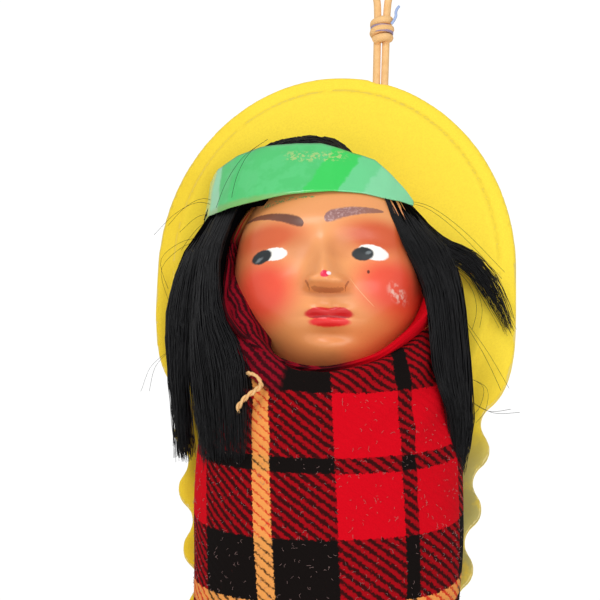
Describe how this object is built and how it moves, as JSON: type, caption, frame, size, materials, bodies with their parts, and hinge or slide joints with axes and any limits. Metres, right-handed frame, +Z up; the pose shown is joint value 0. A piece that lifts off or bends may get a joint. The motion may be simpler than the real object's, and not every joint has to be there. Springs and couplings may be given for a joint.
{
  "type": "cradleboard souvenir doll",
  "caption": "Blanket-wrapped doll with a moulded face, black hair and headband, glued to a padded scalloped board that hangs by a knotted leather lace.",
  "frame": {"origin": "inside top of the lace's hanging loop, where a nail or hook carries the object", "axes": "+Z up, the doll faces -Y, +X to the viewer's right"},
  "size_m": [0.0685, 0.0316, 0.1825],
  "materials": {
    "lace": "undyed tan leather lace",
    "whipping": "lavender thread",
    "board_panel": "yellow suede-like split leather",
    "board_core": "grey-brown board",
    "stuffing": "cotton wadding",
    "blanket": "brushed tartan flannel",
    "twine": "pale twine",
    "face": "hand-painted moulded composition",
    "band": "glossy green ribbon",
    "hair": "black mohair"
  },
  "bodies": {
    "hanging_thong": {"hanging_lace": "lace", "lace_knot": "lace", "knot_whipping": "whipping"},
    "cradle": {"lace_ends": "lace", "board_front": "board_panel", "board_core": "board_core", "board_back": "board_panel", "body_stuffing": "stuffing", "head_stuffing": "stuffing", "blanket_wrap": "blanket", "blanket_hood": "blanket", "blanket_stitch": "twine", "face_mask": "face", "headband": "band", "hair_crown": "hair"},
    "hair_left": {"hair_left": "hair"},
    "hair_right": {"hair_right": "hair", "hair_right_tuft": "hair"}
  },
  "joints": [
    {"name": "lace_fold", "type": "hinge", "parent": "hanging_thong", "child": "cradle", "pos_m": [0, -0.0007, -0.04177], "axis": [1, 0, 0], "range_deg": [-85, 85]},
    {"name": "left_lock_swing", "type": "hinge", "parent": "cradle", "child": "hair_left", "pos_m": [-0.0282, -0.01, -0.0755], "axis": [0, 1, 0], "range_deg": [0, 30]},
    {"name": "right_lock_swing", "type": "hinge", "parent": "cradle", "child": "hair_right", "pos_m": [0.0118, -0.01, -0.0755], "axis": [0, -1, 0], "range_deg": [0, 25]}
  ]
}
